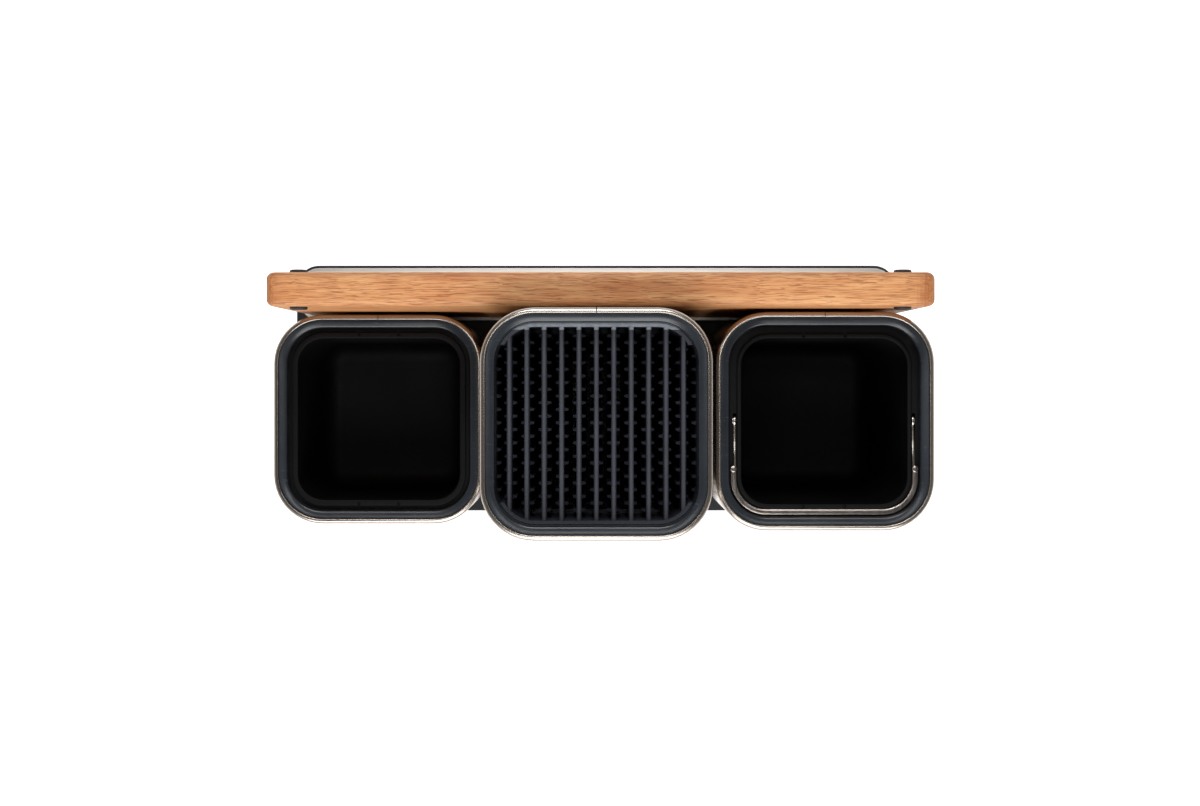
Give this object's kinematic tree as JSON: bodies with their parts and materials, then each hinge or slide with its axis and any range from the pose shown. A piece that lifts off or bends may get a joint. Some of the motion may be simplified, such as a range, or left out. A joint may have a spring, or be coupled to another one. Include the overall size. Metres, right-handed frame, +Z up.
{
  "type": "kitchen organiser with upright cutting board",
  "caption": "Upright wooden cutting board on a dark base behind steel-sleeved square cups: a short liner cup, a tall toothed-fin knife block and a bucket cup with bail.",
  "frame": {"origin": "on the ground under the middle of the base plate", "axes": "+X to the right along the row of cups, +Y from the cups to the board at the back, +Z up"},
  "size_m": [0.4034, 0.165, 0.243],
  "materials": {
    "slate_plastic": "satin slate-blue moulded plastic",
    "black_plastic": "matte black moulded plastic",
    "insert_plastic": "matte dark grey moulded plastic",
    "sleeve_steel": "brushed stainless sheet",
    "polished_steel": "bright stainless",
    "oak": "oiled oak, grain along the length",
    "rubber": "matte black rubber"
  },
  "bodies": {
    "base": {"base_plate": "slate_plastic", "base_cover": "slate_plastic", "base_feet": "rubber", "drip_tray": "sleeve_steel", "board_fence": "slate_plastic", "assembly_screws": "polished_steel", "left_sleeve": "sleeve_steel", "left_collar": "slate_plastic", "left_floor_cap": "slate_plastic", "centre_sleeve": "sleeve_steel", "centre_collar": "slate_plastic", "centre_floor_cap": "slate_plastic", "knife_core": "slate_plastic", "right_sleeve": "sleeve_steel", "right_collar": "slate_plastic", "right_floor_cap": "slate_plastic"},
    "left_liner": {"left_liner": "black_plastic"},
    "right_bucket": {"right_bucket": "black_plastic", "bail_rivets": "polished_steel"},
    "bail": {"bail_handle": "polished_steel"},
    "knife_insert": {"knife_insert_floor": "insert_plastic", "knife_insert_front_wall": "insert_plastic", "knife_insert_rear_wall": "insert_plastic", "knife_fin_01": "insert_plastic", "knife_fin_02": "insert_plastic", "knife_fin_03": "insert_plastic", "knife_fin_04": "insert_plastic", "knife_fin_05": "insert_plastic", "knife_fin_06": "insert_plastic", "knife_fin_07": "insert_plastic", "knife_fin_08": "insert_plastic", "knife_fin_09": "insert_plastic", "knife_fin_10": "insert_plastic", "knife_fin_11": "insert_plastic"},
    "board": {"cutting_board": "oak", "board_front_feet": "rubber", "board_rear_feet": "rubber"}
  },
  "joints": [
    {"name": "board_lift", "type": "slide", "parent": "base", "child": "board", "axis": [0, 0, 1], "range_m": [0, 0.05]},
    {"name": "left_liner_lift", "type": "slide", "parent": "base", "child": "left_liner", "axis": [0, 0, 1], "range_m": [0, 0.11]},
    {"name": "right_bucket_lift", "type": "slide", "parent": "base", "child": "right_bucket", "axis": [0, 0, 1], "range_m": [0, 0.16]},
    {"name": "knife_insert_lift", "type": "slide", "parent": "base", "child": "knife_insert", "axis": [0, 0, 1], "range_m": [0, 0.225]},
    {"name": "bail_turn", "type": "hinge", "parent": "right_bucket", "child": "bail", "pos_m": [0.1336, -0.0184, 0.1658], "axis": [-1, 0, 0], "range_deg": [0, 100]}
  ]
}
